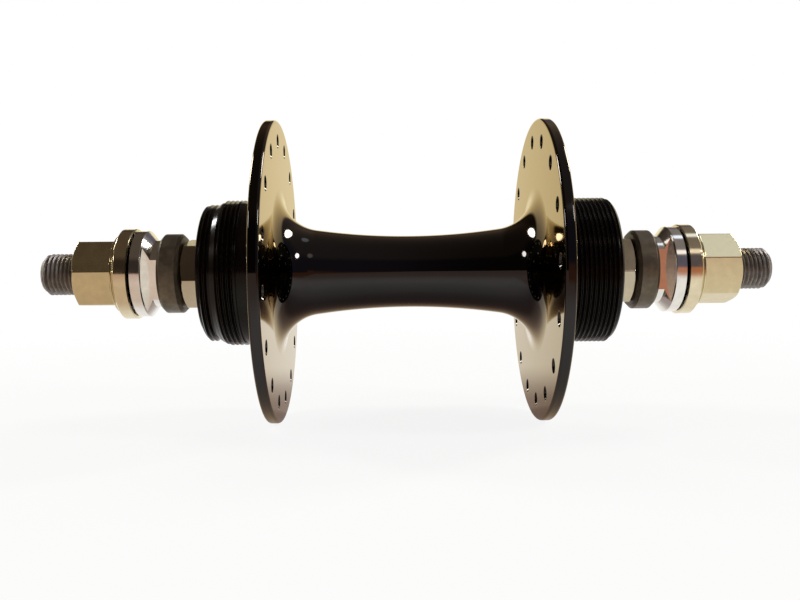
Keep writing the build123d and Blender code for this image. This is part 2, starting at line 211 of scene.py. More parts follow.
class HardwareSizes(bpy.types.PropertyGroup):
    """Sizes of the axle and of the pieces on it. Where each piece starts and ends comes from its node."""

    thread_pitch: length("Axle thread pitch", "Of the axle's thread", 1.0)
    thread_depth: length("Axle thread depth", "Of the axle's thread", 0.6)
    plain_length: length("Plain length", "Unthreaded middle of the axle", 74.0)
    end_chamfer: length("End chamfer", "Chamfer at each end of the axle", 1.1)
    tip_margin: length("Tip margin", "Extra row on the axle's end face inside its chamfer", 0.3)
    nut_bore: length("Nut bore", "Bore of every nut", 10.0)
    nut_mouth: length("Nut mouth", "Chamfer at the mouth of a nut's bore", 0.5)
    corner_round: length("Corner round", "Round of a hexagon's corners", 0.3)
    edge_ease: length("Edge ease", "Small round on worn and plated edges", 0.12)
    crisp_ease: length("Crisp ease", "Smaller round on crisp edges", 0.06)
    hex_chamfer: angle("Hexagon chamfer", "Slope of the chamfer on a hexagon's corners", 30.0)
    bearing_nut_flats: length("Bearing nut flats", "Across flats", 15.0)
    bearing_nut_face: length("Bearing nut face", "Diameter where its corner chamfers start", 14.25)
    bearing_nut_collar: length("Bearing nut collar", "Diameter of the collar against the bearing", 14.0)
    bearing_nut_collar_length: length("Collar length", "Length of that collar", 0.8)
    spacer_chamfer: length("Spacer chamfer", "Chamfer on both edges of the round spacer", 0.7)
    locknut_barrel: length("Locknut barrel", "Diameter of the round barrel", 16.1)
    locknut_barrel_length: length("Locknut barrel length", "Up to the cone", 1.7)
    locknut_flats: length("Locknut flats", "Across the two wrench flats", 13.0)
    locknut_flat_length: length("Locknut flat length", "Length of the wrench flats", 3.2)
    locknut_cone: length("Locknut cone", "Length of the cone", 1.75)
    rim_chamfer: length("Rim chamfer", "Chamfer round a serrated face", 0.2)
    washer_chamfer: length("Washer chamfer", "Length of the washer's coned edge", 0.95)
    washer_face: length("Washer face", "Diameter of the washer's outer face", 18.8)
    washer_recess: length("Washer recess", "Diameter of the recess for the nut's lip", 16.0)
    washer_recess_depth: length("Washer recess depth", "Depth of that recess", 1.5)
    washer_bore: length("Washer bore", "Bore round the nut's collar", 13.2)
    serration_count: IntProperty(name="Serrations", description="Radial grooves in a face",
                                 default=24, min=3)
    serration_depth: length("Serration depth", "Depth of a radial groove", 0.35)
    serration_width: length("Serration width", "Width of a radial groove", 1.2)
    serration_rim: length("Serration rim", "Width of the plain rim outside the grooves", 0.6)
    locknut_mouth: length("Locknut mouth", "Chamfer at the mouth of a locknut's bore", 0.3)
    washer_mouth: length("Washer mouth", "Chamfer at the mouth of a washer's bore", 0.2)
    track_nut_flats: length("Track nut flats", "Across flats", 15.0)
    track_nut_base: length("Track nut base", "Diameter of the flared base", 18.4)
    track_nut_base_start: length("Track nut base start", "Station of the flared base", 68.9)
    track_nut_base_width: length("Track nut base width", "Width of the base's rim", 0.3)
    track_nut_neck: length("Track nut neck", "Length of the flare", 2.0)
    track_nut_crown: length("Track nut crown", "Diameter of the outer face", 14.4)
    track_nut_mouth: length("Track nut mouth", "Chamfer at the outer mouth of its bore", 0.7)
    flare_inset: length("Flare inset", "How far inside the flats the flare would end", 0.2)
    flare_steepness: FloatProperty(name="Flare steepness", description="Power of the flare's curve",
                                   default=4.8, min=1.0)
    nut_collar: length("Nut collar", "Diameter of the collar inside the washer", 12.8)
    nut_lip: length("Nut lip", "Diameter of the lip that keeps the washer", 14.6)
    nut_lip_width: length("Nut lip width", "Width of that lip", 0.95)


class SealSizes(bpy.types.PropertyGroup):
    """Sizes of a bearing's outer seal: a bead at its rim, a dished ring and a lip."""

    bore: length("Seal bore", "Inside the lip", 14.7)
    dish: length("Dish", "How far the ring lies below the bead", 0.18)
    rim_width: length("Rim width", "From the seal's edge to the crest of the bead", 0.35)
    bead_width: length("Bead width", "Across the crest of the bead", 0.55)
    bead_flank: length("Bead flank", "From the bead's crest down to the ring", 0.2)
    lip_width: length("Lip width", "From the bore to the lip's outer foot", 1.3)
    lip_flank: length("Lip flank", "From the lip's foot up to its crest", 0.2)
    lip_crest: length("Lip crest", "Across the crest of the lip", 0.6)
    lip_drop: length("Lip drop", "How far the lip's crest lies below the bead", 0.05)
    lip_bevel: length("Lip bevel", "How far the lip's inner edge lies below the bead", 0.3)
    bead_round: length("Bead round", "Round on the crest of the bead", 0.12)
    lip_round: length("Lip round", "Round on the crest of the lip", 0.1)
    foot_round: length("Foot round", "Round at the feet of bead and lip", 0.08)
    edge_round: length("Edge round", "Round on the outer and inner edge", 0.05)


class NutTurns(bpy.types.PropertyGroup):
    """How far each piece was left turned: one corner or flat above the horizontal, towards +X."""

    cog_side_bearing_nut: angle("Cog-side bearing nut", "Angle of a corner", -12.0)
    cog_side_locknut: angle("Cog-side locknut", "Angle of a wrench flat", -13.0)
    cog_side_track_nut: angle("Cog-side track nut", "Angle of a corner", 3.0)
    freewheel_side_bearing_nut: angle("Freewheel-side bearing nut", "Angle of a corner", -3.0)
    freewheel_side_locknut: angle("Freewheel-side locknut", "Angle of a wrench flat", 0.0)
    freewheel_side_track_nut: angle("Freewheel-side track nut", "Angle of a corner", 18.0)


class FinishColours(bpy.types.PropertyGroup):
    """Colours of the finishes."""

    anodised: colour("Anodised black", "Metal under the black anodising", 0.008, 0.005, 0.004)
    anodised_edge: colour("Anodised sheen", "Tint of its reflections at a low angle", 1.0, 0.75, 0.35)
    thread_sheen: colour("Thread sheen", "Strength of the shine on the shell's threads", 0.4, 0.4, 0.36)
    nickel: colour("Nickel", "Plating of the track nuts", 0.70, 0.60, 0.36)
    bright: colour("Bright plate", "Plating of the locknuts", 0.90, 0.87, 0.80)
    bearing_nut: colour("Bearing nut plate", "Duller plating of the bearing nuts", 0.58, 0.50, 0.36)
    washer: colour("Washer plate", "Yellowish plating of the washers", 0.80, 0.70, 0.48)
    oxide: colour("Black oxide", "Finish of the round spacers", 0.15, 0.12, 0.08)
    axle_dark: colour("Axle steel", "Oiled dark steel of the axle", 0.32, 0.29, 0.27)
    axle_worn: colour("Worn steel", "Rubbed crests of the axle's thread", 0.42, 0.38, 0.34)
    bearing: colour("Bearing steel", "Ground steel of races and balls", 0.62, 0.62, 0.63)
    rubber: colour("Seal rubber", "Nitrile seals", 0.022, 0.022, 0.024)
    nylon: colour("Cage nylon", "Natural nylon", 0.78, 0.74, 0.62)


class StageSettings(bpy.types.PropertyGroup):
    """Camera, lamps and floor."""

    camera_distance: length("Camera distance", "From the axle's line", 200.93)
    camera_shift: length("Camera shift", "Towards the cog side from the middle", 4.773)
    camera_pan: angle("Pan", "Turned towards the freewheel side", 0.777)
    camera_tilt: angle("Tilt", "Turned down", 1.969)
    camera_roll: angle("Roll", "Rolled about the line of sight", -0.527)
    focal_length: FloatProperty(name="Focal length", description="On a sensor 36 mm wide",
                                default=37.256, min=1.0)
    lamp_distance: length("Lamp distance", "From the hub to each lamp", 1600.0)
    floor_radius: length("Floor radius", "Of the round floor", 9000.0)
    background: colour("Background", "Background and floor", 1.0, 1.0, 1.0)
    wall: colour("Wall", "White wall behind the hub, as the metal reflects it", 0.95, 0.85, 0.58)
    front: colour("Front right", "Dark room behind the camera, to the right", 0.10, 0.09, 0.12)
    front_left: colour("Front left", "Dark room behind the camera, to the left", 0.03, 0.022, 0.018)
    overhead: colour("Overhead right", "Dim room above, to the right", 0.20, 0.175, 0.165)
    overhead_left: colour("Overhead left", "Dim room above, to the left", 0.08, 0.06, 0.045)
    clay: colour("Clay", "Reddish table at the front right, as the metal reflects it", 0.46, 0.19, 0.11)
    floor: colour("Floor", "The floor where lamps light it", 0.92, 0.90, 0.87)
    front_floor: colour("Front floor", "Floor far in front, as the metal reflects it", 0.58, 0.42, 0.35)
    left_floor: colour("Left floor", "Floor at the front left, as the metal reflects it", 0.66, 0.50, 0.39)
    # Painted shade: a dark tone that the floor shows close under the hub, only in reflections
    shade: colour("Shade", "Floor close under the hub, as the metal reflects it", 0.25, 0.18, 0.19)


# Meshes turned about the axle


class Skin:
    """Gathers grids and flat faces, and makes one closed, smooth-shaded mesh of them."""

    def __init__(self):
        self.points = []
        self.faces = []
        self.count = 0

    def add(self, points, faces):
        """Add points with the faces between them."""
        self.points.extend(points)
        self.faces.extend(tuple(index + self.count for index in face) for face in faces)
        self.count += len(points)

    def grid(self, angles, rows, side=1, closed=False, centre=(0.0, 0.0)):
        """Add rows of points, each a radius and a station for every column, with faces between the rows."""
        radius = rows[..., 0]
        station = side * rows[..., 1]
        points = np.stack([
            centre[0] + radius * np.cos(angles),
            station,
            centre[1] + radius * np.sin(angles),
        ], axis=-1)
        row_count, column_count = radius.shape
        index = np.arange(row_count * column_count).reshape(row_count, column_count)
        if closed:
            index = np.vstack([index, index[:1]])
        quads = np.stack([index[:-1, :-1], index[:-1, 1:], index[1:, 1:], index[1:, :-1]], axis=-1)
        self.add(points.reshape(-1, 3).tolist(), quads.reshape(-1, 4).tolist())

    def piece(self, name, material, slot, body, *replaced):
        """Make the object, give it its material, and let it ride and stand for its nodes."""
        mesh = bpy.data.meshes.new(name)
        mesh.from_pydata(self.points, [], self.faces)
        work = bmesh.new()
        work.from_mesh(mesh)
        bmesh.ops.remove_doubles(work, verts=work.verts, dist=MERGE_DISTANCE)
        bmesh.ops.dissolve_degenerate(work, edges=work.edges, dist=MERGE_DISTANCE / 2)
        bmesh.ops.recalc_face_normals(work, faces=work.faces)
        work.to_mesh(mesh)
        work.free()
        mesh.shade_smooth()
        mesh.set_sharp_from_angle(angle=SHARP_ANGLE)
        mesh.materials.append(material)
        piece = bpy.data.objects.new(name, mesh)
        bpy.context.scene.collection.objects.link(piece)
        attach(piece, body)
        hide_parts(*replaced)
        return piece


def even_angles(count):
    """Evenly spaced columns, with the first one repeated a full turn on."""
    return np.linspace(0.0, FULL_TURN, count + 1)


def direction(vectors):
    """Unit vectors along these, and their lengths."""
    lengths = np.linalg.norm(vectors, axis=-1, keepdims=True)
    return vectors / np.maximum(lengths, TINY), lengths


def rounded(before, point, after, rounding, steps):
    """Rows that carry an outline round one corner on an arc, with a support row at each end."""
    back, back_room = direction(before - point)
    ahead, ahead_room = direction(after - point)
    room = np.minimum(back_room, ahead_room)
    half = np.arccos(np.clip(np.sum(back * ahead, axis=-1, keepdims=True), -1.0, 1.0)) / 2
    radius = np.broadcast_to(np.asarray(rounding, float).reshape(-1, 1), half.shape)
    tangent = radius / np.tan(half)
    fitting = np.minimum(1.0, ROUND_SHARE * room / np.maximum(tangent, TINY))
    tangent = tangent * fitting
    radius = radius * fitting
    support = np.minimum(SUPPORT, SUPPORT_SHARE * room)
    bisector, _ = direction(back + ahead)
    centre = point + bisector * radius / np.maximum(np.sin(half), TINY)
    start = point + back * tangent - centre
    end = point + ahead * tangent - centre
    sweep = math.pi - 2 * half
    rows = [point + back * (tangent + support)]
    for step in range(steps + 1):
        share = step / steps
        blend = np.sin((1 - share) * sweep) * start + np.sin(share * sweep) * end
        rows.append(centre + blend / np.maximum(np.sin(sweep), TINY))
    rows.append(point + ahead * (tangent + support))
    return rows


def outline(columns, *corners, closed=True):
    """Rows of an outline. A corner is a radius and a station, then its rounding and the arc's steps."""
    points = []
    for corner in corners:
        point = np.empty((columns, 2))
        point[:, 0] = corner[0]
        point[:, 1] = corner[1]
        points.append(point)
    rows = []
    for index, corner in enumerate(corners):
        at_end = not closed and index in (0, len(corners) - 1)
        if at_end or len(corner) < 3:
            rows.append(points[index])
            continue
        steps = corner[3] if len(corner) > 3 else PLAIN_ARC
        after = points[(index + 1) % len(points)]
        rows.extend(rounded(points[index - 1], points[index], after, corner[2], steps))
    return np.array(rows)


def turned_ring(side, angles, *corners):
    """One closed outline turned round the axle."""
    skin = Skin()
    skin.grid(angles, outline(len(angles), *corners), side, closed=True)
    return skin


# One turn of a thread: how far along the turn each row lies, how deep it is there, and how many turns
# are laid past each end
THREAD_PHASES = (0.0, 0.03, 0.12, 0.15, 0.50, 0.53, 0.62, 0.65)
THREAD_DEPTHS = (0.07, 0.0, 0.0, 0.07, 0.93, 1.0, 1.0, 0.93)
SPARE_TURNS = 2

# Which way a thread climbs as the angle grows
RIGHT_HAND = -1
LEFT_HAND = 1


def thread_rows(sizes, angles, start, end, hand, envelope, fade_in=0.0, fade_out=0.0):
    """Rows that wind along a screw thread from one station to another, inside an envelope of radii."""
    pitch = sizes.thread_pitch
    turns = hand * angles / FULL_TURN
    count = math.ceil((end - start) / pitch)
    whole_turns = range(-SPARE_TURNS, count + SPARE_TURNS)
    winding = np.array([turn + phase for turn in whole_turns for phase in THREAD_PHASES])
    station = np.clip(start + pitch * (winding[:, None] + turns), start, end)
    phase = ((station - start) / pitch - turns) % 1.0
    cut = np.interp(phase, [*THREAD_PHASES, 1.0], [*THREAD_DEPTHS, THREAD_DEPTHS[0]])
    if fade_in:
        cut = cut * np.clip((station - start) / fade_in, 0.0, 1.0)
    if fade_out:
        cut = cut * np.clip((end - station) / fade_out, 0.0, 1.0)
    crest = envelope(station)
    radius = np.minimum(crest, crest.max() - sizes.thread_depth * cut)
    return np.stack([radius, station], axis=-1)


def hexagon(flats, turn, corner_round):
    """Columns round a hexagon with rounded corners: their angles, and the radius at each."""
    inner = flats / 2 - corner_round
    flat_end = math.atan2(inner * math.tan(HALF_SECTOR), flats / 2)
    half = np.concatenate([
        np.linspace(0.0, BESIDE_CORNER * flat_end, FLAT_COLUMNS),
        np.linspace(flat_end, HALF_SECTOR, CORNER_COLUMNS),
    ])
    sector = np.concatenate([-half[::-1], half[1:]])
    turned_half = np.minimum(np.abs(sector), flat_end)
    radius = flats / 2 / np.cos(turned_half)
    on_corner = np.abs(sector) > flat_end
    from_corner = HALF_SECTOR - np.abs(sector)
    corner_centre = inner / math.cos(HALF_SECTOR)
    reach = np.sqrt(np.maximum(corner_round**2 - (corner_centre * np.sin(from_corner)) ** 2, 0.0))
    radius = np.where(on_corner, corner_centre * np.cos(from_corner) + reach, radius)
    flat_middles = turn + HALF_SECTOR * (2 * np.arange(HEXAGON_CORNERS) + 1)
    angles = np.concatenate([middle + sector[:-1] for middle in flat_middles])
    radii = np.tile(radius[:-1], HEXAGON_CORNERS)
    return np.append(angles, angles[0] + FULL_TURN), np.append(radii, radii[0])


def on_side(side_name, part):
    """A node on one side of the hub: its name, its side, and its start and end, counted outward."""
    node = f"{side_name}_{part}"
    side = OUTWARD[side_name]
    low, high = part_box(node)
    return node, side, *sorted((side * low.y, side * high.y))


# Finishes

# Where the shell's polish gives way to its threads, and the crests of the axle's thread
THREADED_FROM = 33.5 * MM
THREADED_FULLY = 36.0 * MM
CREST_DEPTH = 0.14 * MM
CREST_TOP = 0.02 * MM


class Wire:
    """One value in a finish. Sums on it add the Math nodes that work it out."""

    def __init__(self, finish, socket):
        self.finish = finish
        self.socket = socket

    def math(self, operation, first, second=None):
        """Work out one value from one or two others."""
        inputs = {0: first} if second is None else {0: first, 1: second}
        return self.finish.node("ShaderNodeMath", inputs, operation=operation)

    def __add__(self, other):
        return self.math("ADD", self, other)

    def __radd__(self, other):
        return self.math("ADD", other, self)

    def __sub__(self, other):
        return self.math("SUBTRACT", self, other)

    def __rsub__(self, other):
        return self.math("SUBTRACT", other, self)

    def __mul__(self, other):
        return self.math("MULTIPLY", self, other)

    def __rmul__(self, other):
        return self.math("MULTIPLY", other, self)

    def root(self):
        """The square root of this value."""
        return self.math("SQRT", self)

    def over(self, low, high):
        """0 below low, 1 above high, and a smooth step between them."""
        inputs = {"Value": self, "From Min": low, "From Max": high}
        return self.finish.node("ShaderNodeMapRange", inputs, interpolation_type="SMOOTHSTEP")


class Finish:
    """A material's or the world's nodes, made one by one."""

    def __init__(self, tree):
        self.tree = tree
        self.tree.nodes.clear()

    def node(self, kind, inputs, output=0, **settings):
        """Add a node: its settings first, then the values or wires of its sockets."""
        node = self.tree.nodes.new(kind)
        for name, value in settings.items():
            setattr(node, name, value)
        for key, value in inputs.items():
            if isinstance(value, Wire):
                self.tree.links.new(value.socket, node.inputs[key])
            else:
                node.inputs[key].default_value = value
        return Wire(self, node.outputs[output])

    def position(self):
        """Position on the piece as one vector."""
        return self.node("ShaderNodeTexCoord", {}, "Object")

    def place(self):
        """Position on the piece, as the shared frame's X, Y and Z."""
        return self.parts(self.position())

    def parts(self, vector):
        """The X, Y and Z of a vector."""
        return [self.node("ShaderNodeSeparateXYZ", {"Vector": vector}, axis) for axis in "XYZ"]

    def radius(self):
        """Distance from the axle's centre line."""
        x, _, z = self.place()
        return (x * x + z * z).root()

    def vector(self, x, y, z):
        """Three values as one vector."""
        return self.node("ShaderNodeCombineXYZ", {"X": x, "Y": y, "Z": z})

    def noise(self, size, detail=3.0, roughness=0.5, vector=None):
        """Cloudy noise from 0 to 1 with features of about this size."""
        where = vector or self.position()
        inputs = {"Vector": where, "Scale": 1 / size, "Detail": detail, "Roughness": roughness}
        return self.node("ShaderNodeTexNoise", inputs)

    def turning_lines(self, size):
        """Fine noise that runs in circles round the axle, as a lathe leaves it."""
        _, y, _ = self.place()
        return self.noise(size, detail=2.0, vector=self.vector(self.radius(), y, 0.0))

    def specks(self, spacing, edge, core):
        """Scattered round specks: 0 past their edge and 1 in their core, in shares of the spacing."""
        inputs = {"Vector": self.position(), "Scale": 1 / spacing}
        distance = self.node("ShaderNodeTexVoronoi", inputs, feature="F1")
        return distance.over(edge, core)

    def mixed(self, share, first, second):
        """A colour between two others. A Mix node has its colours in inputs 6 and 7 and output 2."""
        inputs = {0: share, 6: first, 7: second}
        return self.node("ShaderNodeMix", inputs, 2, data_type="RGBA")

    def clouded(self, tint, share, darkest, lightest):
        """A colour that wanders between a darker and a lighter shade of itself."""
        return self.mixed(share, scaled(tint, darkest), scaled(tint, lightest))

    def bump(self, height, distance):
        """A normal from a height that runs from 0 to 1 over this distance."""
        return self.node("ShaderNodeBump", {"Height": height, "Distance": distance})

    def principled(self, **inputs):
        """A Principled shader with these inputs."""
        named = {key.replace("_", " ").title(): value for key, value in inputs.items()}
        return self.node("ShaderNodeBsdfPrincipled", named)

    def surface(self, **inputs):
        """End the material in one Principled shader."""
        self.node_output(self.principled(**inputs))

    def node_output(self, shader):
        """Link the shader to the material's output."""
        output = self.tree.nodes.new("ShaderNodeOutputMaterial")
        self.tree.links.new(shader.socket, output.inputs["Surface"])


def new_finish(name):
    """A new material with empty nodes."""
    material = bpy.data.materials.new(name)
    material.use_nodes = True
    return material, Finish(material.node_tree)


def solid(value):
    """A colour with full alpha."""
    return (*value, 1.0)


def scaled(value, factor):
    """A colour made darker or lighter, with full alpha."""
    return tuple(min(1.0, part * factor) for part in value) + (1.0,)


def anodised_finish(colours):
    """Polished aluminium under black anodising, with a warm sheen at low angles and plain black threads."""
    material, finish = new_finish("black_anodised")
    _, y, _ = finish.place()
    threaded = (y * y).over(THREADED_FROM**2, THREADED_FULLY**2)
    lines = finish.turning_lines(size=0.11 * MM)
    cloud = finish.noise(size=9.0 * MM, detail=4.0)
    dust = finish.specks(spacing=1.1 * MM, edge=0.09, core=0.03)
    base = finish.clouded(colours.anodised, cloud.over(0.3, 0.8), darkest=0.8, lightest=1.2)
    polished = finish.principled(
        base_color=base,
        metallic=1.0,
        roughness=0.05 + 0.05 * cloud + 0.12 * dust,
        specular_tint=solid(colours.anodised_edge),
        coat_weight=0.8,
        coat_roughness=0.05,
        normal=finish.bump(lines, distance=0.0012 * MM),
    )
    turned = finish.principled(
        base_color=base,
        roughness=0.14 + 0.05 * cloud + 0.12 * dust,
        specular_tint=solid(colours.thread_sheen),
    )
    finish.node_output(finish.node("ShaderNodeMixShader", {0: threaded, 1: polished, 2: turned}))
    return material


def nickel_finish(colours):
    """Dull nickel plate over forged steel: mottled, with small pits."""
    material, finish = new_finish("nickel_plate")
    cloud = finish.noise(size=2.6 * MM, detail=5.0, roughness=0.6)
    grain = finish.noise(size=0.22 * MM)
    pits = finish.specks(spacing=0.55 * MM, edge=0.16, core=0.05)
    base = finish.clouded(colours.nickel, cloud.over(0.35, 0.75), darkest=0.93, lightest=1.05)
    finish.surface(
        base_color=finish.mixed(0.3 * pits, base, scaled(colours.nickel, 0.45)),
        metallic=1.0,
        roughness=0.14 + 0.12 * cloud + 0.12 * pits,
        normal=finish.bump(0.6 * grain + 0.6 * cloud - 0.5 * pits, distance=0.006 * MM),
    )
    return material


def plate_finish(name, tint):
    """Bright plate over turned steel: smooth, with fine lines round the axle."""
    material, finish = new_finish(name)
    lines = finish.turning_lines(size=0.09 * MM)
    cloud = finish.noise(size=3.0 * MM, detail=4.0, roughness=0.6)
    spots = finish.specks(spacing=0.9 * MM, edge=0.13, core=0.04)
    base = finish.clouded(tint, cloud.over(0.35, 0.8), darkest=0.92, lightest=1.05)
    finish.surface(
        base_color=finish.mixed(0.3 * spots, base, scaled(tint, 0.5)),
        metallic=1.0,
        roughness=0.09 + 0.08 * cloud + 0.14 * spots,
        normal=finish.bump(lines + 0.6 * cloud, distance=0.003 * MM),
    )
    return material


def oxide_finish(colours):
    """Satin black oxide on turned steel, a little brown where it was handled."""
    material, finish = new_finish("black_oxide")
    cloud = finish.noise(size=3.2 * MM, detail=4.0, roughness=0.6)
    grain = finish.noise(size=0.16 * MM)
    finish.surface(
        base_color=finish.clouded(colours.oxide, cloud.over(0.35, 0.7), darkest=0.75, lightest=1.25),
        metallic=0.6,
        roughness=0.36 + 0.1 * grain,
        normal=finish.bump(grain + cloud, distance=0.006 * MM),
    )
    return material


def axle_finish(colours, crest_radius):
    """Oiled dark steel, rubbed bright in places along the crests of its thread."""
    material, finish = new_finish("axle_steel")
    cloud = finish.noise(size=1.7 * MM, detail=4.0, roughness=0.6)
    grain = finish.noise(size=0.12 * MM)
    crest = finish.radius().over(crest_radius - CREST_DEPTH, crest_radius - CREST_TOP)
    rubbed = 0.35 * crest * cloud.over(0.42, 0.66)
    base = finish.clouded(colours.axle_dark, cloud.over(0.3, 0.8), darkest=0.7, lightest=1.25)
    finish.surface(
        base_color=finish.mixed(rubbed, base, solid(colours.axle_worn)),
        metallic=1.0,
        roughness=0.46 + 0.1 * grain - 0.1 * rubbed,
        normal=finish.bump(grain, distance=0.008 * MM),
    )
    return material


def bearing_finish(colours):
    """Ground bearing steel with a fine circular grain."""
    material, finish = new_finish("bearing_steel")
    lines = finish.turning_lines(size=0.05 * MM)
    cloud = finish.noise(size=2.0 * MM)
    finish.surface(
        base_color=finish.clouded(colours.bearing, cloud, darkest=0.85, lightest=1.1),
        metallic=1.0,
        roughness=0.18 + 0.08 * lines,
        normal=finish.bump(lines, distance=0.003 * MM),
    )
    return material


def rubber_finish(colours):
    """Moulded nitrile rubber with a fine sandy skin."""
    material, finish = new_finish("seal_rubber")
    grain = finish.noise(size=0.1 * MM)
    cloud = finish.noise(size=2.5 * MM)
    finish.surface(
        base_color=finish.clouded(colours.rubber, cloud, darkest=0.7, lightest=1.5),
        roughness=0.5 + 0.15 * grain,
        normal=finish.bump(grain, distance=0.012 * MM),
    )
    return material


def nylon_finish(colours):
    """Natural moulded nylon."""
    material, finish = new_finish("cage_nylon")
    cloud = finish.noise(size=1.5 * MM)
    base = finish.clouded(colours.nylon, cloud, darkest=0.9, lightest=1.05)
    finish.surface(base_color=base, roughness=0.45 + 0.1 * cloud)
    return material


def dress(node, material):
    """Give a CAD node that stays in view its finish."""
    node.data.materials.clear()
    node.data.materials.append(material)


# Pieces


def spoke_places(sizes, side):
    """Centres of one flange's spoke holes. The freewheel side's lie half a spacing on."""
    spacing = FULL_TURN / sizes.spoke_count
    lag = spacing / 2 if side > 0 else 0.0
    from_top = sizes.first_spoke + lag + spacing * np.arange(sizes.spoke_count)
    return np.stack([np.sin(from_top), np.cos(from_top)], axis=-1) * sizes.spoke_circle / 2


def flange_face(skin, station, inner, outer, holes, hole_radius):
    """A flat ring between two circles, with round holes."""
    rim_angles = even_angles(SHELL_COLUMNS)[:-1]
    hole_angles = even_angles(HOLE_COLUMNS)[:-1]
    loops = [(0.0, 0.0, outer, rim_angles), (0.0, 0.0, inner, rim_angles)]
    loops += [(x, z, hole_radius, hole_angles) for x, z in holes]
    points = []
    edges = []
    for x, z, radius, angles in loops:
        first = len(points)
        points += [Vector((x + radius * math.cos(a), z + radius * math.sin(a))) / MM for a in angles]
        edges += [(first + i, first + (i + 1) % len(angles)) for i in range(len(angles))]
    corners, _, triangles, _, _, _ = delaunay_2d_cdt(points, edges, [], 0, MEETING_DISTANCE)
    flat = np.array([corner[:] for corner in corners]) * MM
    kept = []
    for triangle in triangles:
        middle = flat[list(triangle)].mean(axis=0)
        in_hole = np.min(np.linalg.norm(holes - middle, axis=1)) < HOLE_MARGIN * hole_radius
        if not in_hole and np.linalg.norm(middle) > RING_MARGIN * inner:
            kept.append(triangle)
    skin.add([(x, station, z) for x, z in flat], kept)


def flange_stations(sizes):
    """Stations of a flange's inner and outer face."""
    inner_face = (sizes.flange_spacing - sizes.flange_thickness) / 2
    outer_face = (sizes.flange_spacing + sizes.flange_thickness) / 2
    return inner_face, outer_face


def drilled_ring(sizes):
    """Inner and outer radius of the flat ring with a flange's spoke holes."""
    circle = sizes.spoke_circle / 2
    wide = sizes.countersink / 2
    inner = circle - wide - sizes.ring_margin
    outer = (circle + wide + sizes.flange_diameter / 2 - sizes.flange_edge_round) / 2
    return inner, outer


def freewheel_end_rows(sizes, angles, shell_end):
    """Rows from the freewheel side's flange over the freewheel thread to the shell's end."""
    _, outer_face = flange_stations(sizes)
    ring_inner, _ = drilled_ring(sizes)
    crest = sizes.freewheel_thread / 2
    relief = crest - sizes.relief_depth

    def envelope(station):
        past = station - (shell_end - sizes.freewheel_lead_in)
        return crest - np.clip(past, 0.0, sizes.freewheel_lead_in)

    relief_rows = outline(
        len(angles),
        (ring_inner, outer_face),
        (relief, outer_face, sizes.relief_round, RELIEF_ARC),
        (relief, sizes.freewheel_thread_end),
        closed=False,
    )
    thread = thread_rows(sizes, angles, sizes.freewheel_thread_end, shell_end, RIGHT_HAND, envelope)
    return np.concatenate([relief_rows, thread])


def cog_end_rows(sizes, angles, shell_end):
    """Rows from the shell's end over the lockring and cog threads to the cog side's flange."""
    _, outer_face = flange_stations(sizes)
    ring_inner, _ = drilled_ring(sizes)
    columns = len(angles)
    lockring = sizes.lockring_thread / 2
    cog = sizes.cog_thread / 2
    shoulder = cog - sizes.shoulder_step
    relief = lockring - sizes.relief_depth
    round_start = shell_end - sizes.end_round

    def lockring_envelope(station):
        past = np.clip(-station - round_start, 0.0, sizes.end_round)
        return lockring - sizes.end_round + np.sqrt(sizes.end_round**2 - past**2)

    def cog_envelope(station):
        past = -station - (sizes.cog_thread_start - sizes.cog_lead_in)
        return cog - np.clip(past / sizes.cog_lead_in, 0.0, 1.0) * sizes.cog_lead_depth

    lockring_rows = thread_rows(
        sizes, angles, -shell_end, -sizes.lockring_thread_end, LEFT_HAND, lockring_envelope
    )
    relief_rows = outline(
        columns,
        (relief, -sizes.lockring_thread_end),
        (relief, -sizes.cog_thread_start),
        closed=False,
    )
    cog_rows = thread_rows(
        sizes, angles, -sizes.cog_thread_start, -sizes.cog_thread_end, RIGHT_HAND, cog_envelope,
        fade_out=sizes.thread_runout
    )
    shoulder_rows = outline(
        columns,
        (shoulder, -sizes.cog_thread_end),
        (shoulder, -outer_face, sizes.shoulder_round, EDGE_ARC),
        (ring_inner, -outer_face),
        closed=False,
    )
    return np.concatenate([lockring_rows, relief_rows, cog_rows, shoulder_rows])


def bore_rows(sizes, columns, shell_end):
    """Rows through the bore, from the freewheel end to the cog end, with its two bearing seats."""
    seat = outer_radius("cog_side_outer_race")
    ledge = seat - sizes.shoulder_width
    bore = sizes.bore / 2
    seat_end = shell_end - sizes.seat_depth
    ledge_end = seat_end - sizes.shoulder_length
    bore_end = ledge_end - (ledge - bore)
    half = [
        (seat + sizes.mouth_chamfer, shell_end),
        (seat, shell_end - sizes.mouth_chamfer),
        (seat, seat_end),
        (ledge, seat_end),
        (ledge, ledge_end),
        (bore, bore_end),
    ]
    mirrored = [(radius, -station) for radius, station in reversed(half)]
    return outline(columns, *half, *mirrored, closed=False)


def barrel_rows(sizes, columns):
    """Rows along the barrel and its trumpets. The waist is one long round between two straight runs."""
    inner_face, _ = flange_stations(sizes)
    ring_inner, _ = drilled_ring(sizes)
    neck_station = inner_face - sizes.trumpet_radius
    rise = (sizes.neck_diameter - sizes.waist_diameter) / 2
    waist_round = (neck_station**2 + rise**2) / (2 * rise)
    slope = math.asin(neck_station / waist_round)
    middle_radius = sizes.waist_diameter / 2 - waist_round * (1 / math.cos(slope) - 1)
    foot_radius = sizes.neck_diameter / 2 + sizes.trumpet_radius * math.tan(slope)
    return outline(
        columns,
        (ring_inner, -inner_face),
        (foot_radius, -inner_face, sizes.trumpet_radius, LONG_ARC),
        (middle_radius, 0.0, waist_round, LONG_ARC),
        (foot_radius, inner_face, sizes.trumpet_radius, LONG_ARC),
        (ring_inner, inner_face),
        closed=False,
    )


